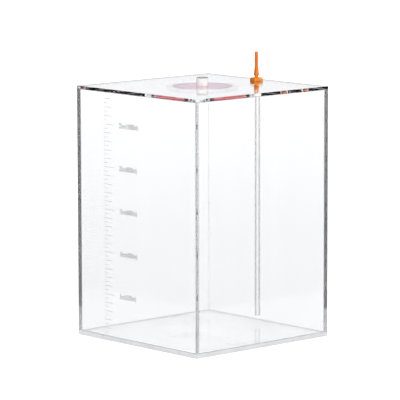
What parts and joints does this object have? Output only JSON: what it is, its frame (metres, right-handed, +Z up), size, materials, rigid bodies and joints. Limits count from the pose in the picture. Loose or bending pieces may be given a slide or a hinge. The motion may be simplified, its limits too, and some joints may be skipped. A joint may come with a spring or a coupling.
{
  "type": "clear reservoir tank",
  "caption": "Clear square acrylic water reservoir with a level scale, a round lift-off filler cover with a knob, and a hose connector that feeds a dip tube.",
  "frame": {"origin": "middle of the base plate's underside", "axes": "+Z up, the wall with the level scale faces -Y, the hose connector stands near the +Y edge"},
  "size_m": [0.208, 0.208, 0.3305],
  "materials": {
    "clear_sheet": "polished cast acrylic sheet, solvent welded",
    "tinted_cover": "polished acrylic with a faint lilac tint",
    "clear_knob": "turned and polished clear acrylic rod",
    "orange_connector": "injection moulded, satin",
    "soft_washer": "soft translucent silicone",
    "clear_tube": "extruded clear acrylic tube"
  },
  "bodies": {
    "tank": {"base_plate": "clear_sheet", "wall_front": "clear_sheet", "wall_back": "clear_sheet", "wall_left": "clear_sheet", "wall_right": "clear_sheet", "top_plate": "clear_sheet", "cover_ledge": "clear_sheet", "connector_body": "orange_connector", "connector_washer": "soft_washer", "connector_nut": "orange_connector", "dip_tube": "clear_tube"},
    "cover": {"cover_disc": "tinted_cover", "cover_knob": "clear_knob"}
  },
  "joints": [
    {"name": "cover_lift", "type": "slide", "parent": "tank", "child": "cover", "axis": [0, 0, 1], "range_m": [0, 0.06]}
  ]
}
